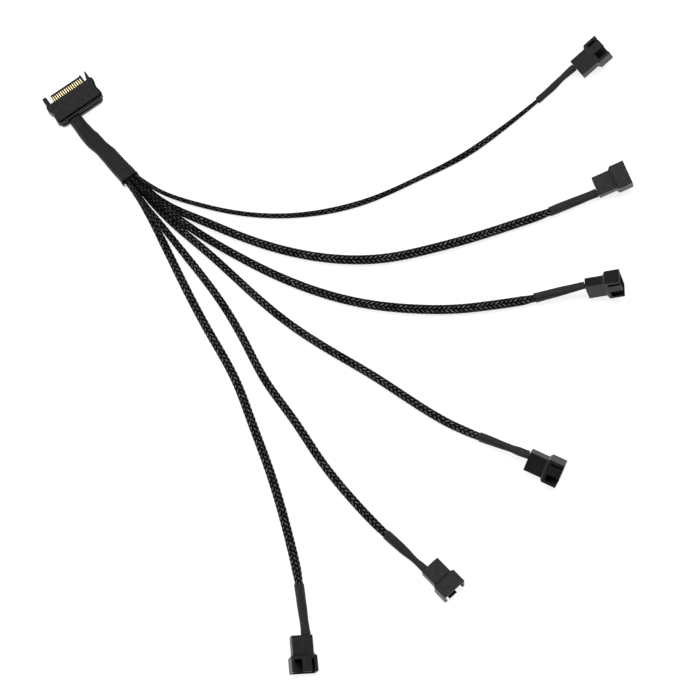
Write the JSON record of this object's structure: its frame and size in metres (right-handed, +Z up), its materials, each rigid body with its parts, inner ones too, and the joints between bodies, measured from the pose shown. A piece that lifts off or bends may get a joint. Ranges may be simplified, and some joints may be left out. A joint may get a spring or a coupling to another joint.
{
  "type": "sata fan adapter cable",
  "caption": "Black power adapter cable: a flat drive-power plug and short shrink-sleeved trunk that fans out into braided leads with keyed pin plugs for computer fans.",
  "frame": {"origin": "on the bench, under the middle of the bounding box of the cable as it lies, without the braids", "axes": "+Z up from the bench; +Y towards the power plug's end of the lay and +X towards the fanned-out fan plugs, as seen from above with the power plug at the upper left"},
  "size_m": [0.3222, 0.3451, 0.0197],
  "materials": {
    "plug_plastic": "black moulded plastic with a fine satin grain",
    "fan_plug_plastic": "black moulded nylon, satin",
    "contact_gold": "thin gold plating, bright",
    "pin_metal": "tin-plated, bright",
    "wire_insulation": "black wire insulation",
    "shrink_tubing": "matt black heat-shrink tubing, slightly wrinkled",
    "braided_sleeve": "black plastic monofilament braid with small grey glints"
  },
  "bodies": {
    "root": {"plug_housing": "plug_plastic", "plug_rear_cap": "plug_plastic", "power_contacts": "contact_gold", "supply_wires": "wire_insulation", "trunk_tubing": "shrink_tubing", "lead_1_braid": "braided_sleeve", "lead_2_braid": "braided_sleeve", "lead_3_braid": "braided_sleeve", "lead_4_braid": "braided_sleeve", "lead_5_braid": "braided_sleeve", "lead_6_braid": "braided_sleeve", "lead_1_boot": "shrink_tubing", "lead_2_boot": "shrink_tubing", "lead_3_boot": "shrink_tubing", "lead_4_boot": "shrink_tubing", "lead_5_boot": "shrink_tubing", "lead_6_boot": "shrink_tubing", "lead_1_wires": "wire_insulation", "lead_2_wires": "wire_insulation", "lead_3_wires": "wire_insulation", "lead_4_wires": "wire_insulation", "lead_5_wires": "wire_insulation", "lead_6_wires": "wire_insulation", "fan_plug_1": "fan_plug_plastic", "fan_plug_2": "fan_plug_plastic", "fan_plug_3": "fan_plug_plastic", "fan_plug_4": "fan_plug_plastic", "fan_plug_5": "fan_plug_plastic", "fan_plug_6": "fan_plug_plastic", "fan_pins_1": "pin_metal", "fan_pins_2": "pin_metal", "fan_pins_3": "pin_metal", "fan_pins_4": "pin_metal", "fan_pins_5": "pin_metal", "fan_pins_6": "pin_metal"}
  },
  "joints": []
}
